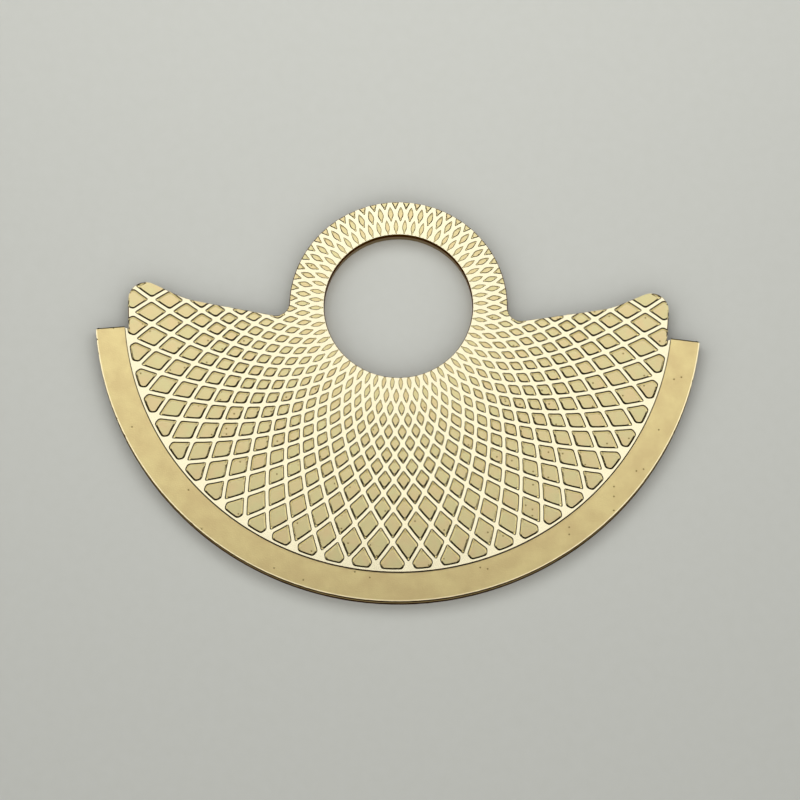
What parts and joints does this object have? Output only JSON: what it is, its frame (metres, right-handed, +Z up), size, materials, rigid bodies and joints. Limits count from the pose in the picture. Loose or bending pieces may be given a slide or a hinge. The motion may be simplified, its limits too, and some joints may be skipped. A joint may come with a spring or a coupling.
{
  "type": "automatic watch rotor",
  "caption": "Half-round winding rotor with an engraved lattice plate, a heavy crescent and a thin ball bearing that leaves its centre open.",
  "frame": {"origin": "on the bearing's bore axis, level with the flat underside", "axes": "+Z up out of the engraved face along the bore axis, +X towards one horn, -Y towards the heavy crescent"},
  "size_m": [0.0248, 0.017, 0.0007],
  "materials": {
    "plate": "polished raised lattice over matte etched cells, gold plated",
    "weight": "matte, gold plated, with a bright worn edge",
    "pins": "turned",
    "race_steel": "ground",
    "ball_steel": "polished",
    "cage": "stamped",
    "gear": "cut teeth"
  },
  "bodies": {
    "bearing_core": {"inner_race": "race_steel", "inner_cone": "race_steel"},
    "bearing_cage": {"ball_cage": "cage", "bearing_balls": "ball_steel"},
    "rotor": {"rotor_plate": "plate", "weight_segment": "weight", "weight_pins": "pins", "outer_race": "race_steel", "drive_gear": "gear"}
  },
  "joints": [
    {"name": "rotor_spin", "type": "hinge", "parent": "bearing_core", "child": "rotor", "pos_m": [0, 0, 0.00021], "axis": [0, 0, 1], "continuous": true},
    {"name": "cage_spin", "type": "hinge", "parent": "bearing_core", "child": "bearing_cage", "pos_m": [0, 0, 0.00021], "axis": [0, 0, 1], "continuous": true}
  ],
  "couplings": [
    {"joint": "cage_spin", "follows": "rotor_spin", "ratio": 0.5163}
  ]
}
